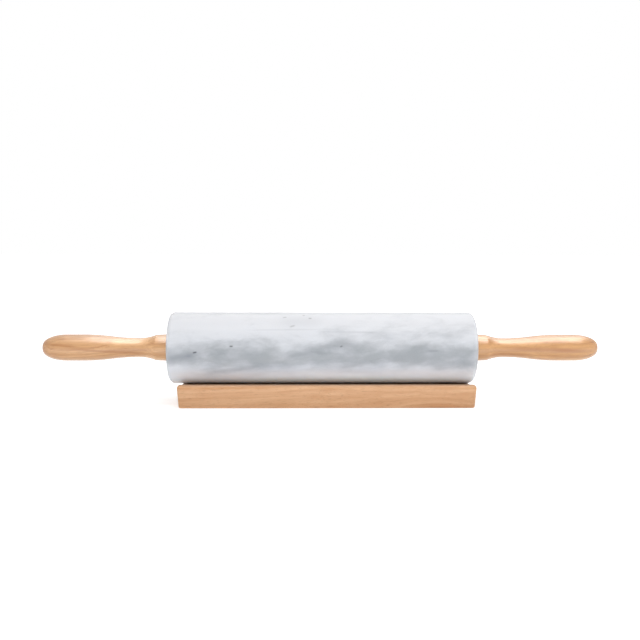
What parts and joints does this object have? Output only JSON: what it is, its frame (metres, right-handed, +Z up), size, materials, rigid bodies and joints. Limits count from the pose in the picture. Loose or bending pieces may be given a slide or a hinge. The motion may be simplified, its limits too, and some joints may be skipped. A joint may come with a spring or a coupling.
{
  "type": "rolling pin",
  "caption": "Marble rolling pin: a polished stone barrel that turns on an axle between turned wooden handles, resting in the shallow trough of a wooden stand.",
  "frame": {"origin": "on the table under the middle of the pin: the centre of the whole object's footprint box, at the underside of the stand", "axes": "+X along the pin towards the right handle, +Z up, +Y to the back of the stand"},
  "size_m": [0.4592, 0.0636, 0.0742],
  "materials": {
    "marble": "polished white marble with soft grey clouds and veins",
    "handle_wood": "satin lacquered light hardwood, grain along the handle",
    "stand_wood": "satin lacquered light hardwood, grain along the stand",
    "axle_steel": "bright drawn rod",
    "washer_steel": "zinc plated",
    "insert_brass": "machined",
    "bushing_plastic": "moulded nylon, off white"
  },
  "bodies": {
    "stand": {"wooden_stand": "stand_wood"},
    "axle": {"axle_rod": "axle_steel", "left_handle": "handle_wood", "right_handle": "handle_wood", "left_insert": "insert_brass", "right_insert": "insert_brass", "left_washer": "washer_steel", "right_washer": "washer_steel"},
    "barrel": {"marble_barrel": "marble", "left_bushing": "bushing_plastic", "right_bushing": "bushing_plastic"}
  },
  "joints": [
    {"name": "pin_lift", "type": "slide", "parent": "stand", "child": "axle", "axis": [0, 0, 1], "range_m": [0, 0.12]},
    {"name": "barrel_spin", "type": "hinge", "parent": "axle", "child": "barrel", "pos_m": [0, 0, 0.0449], "axis": [1, 0, 0], "continuous": true}
  ]
}
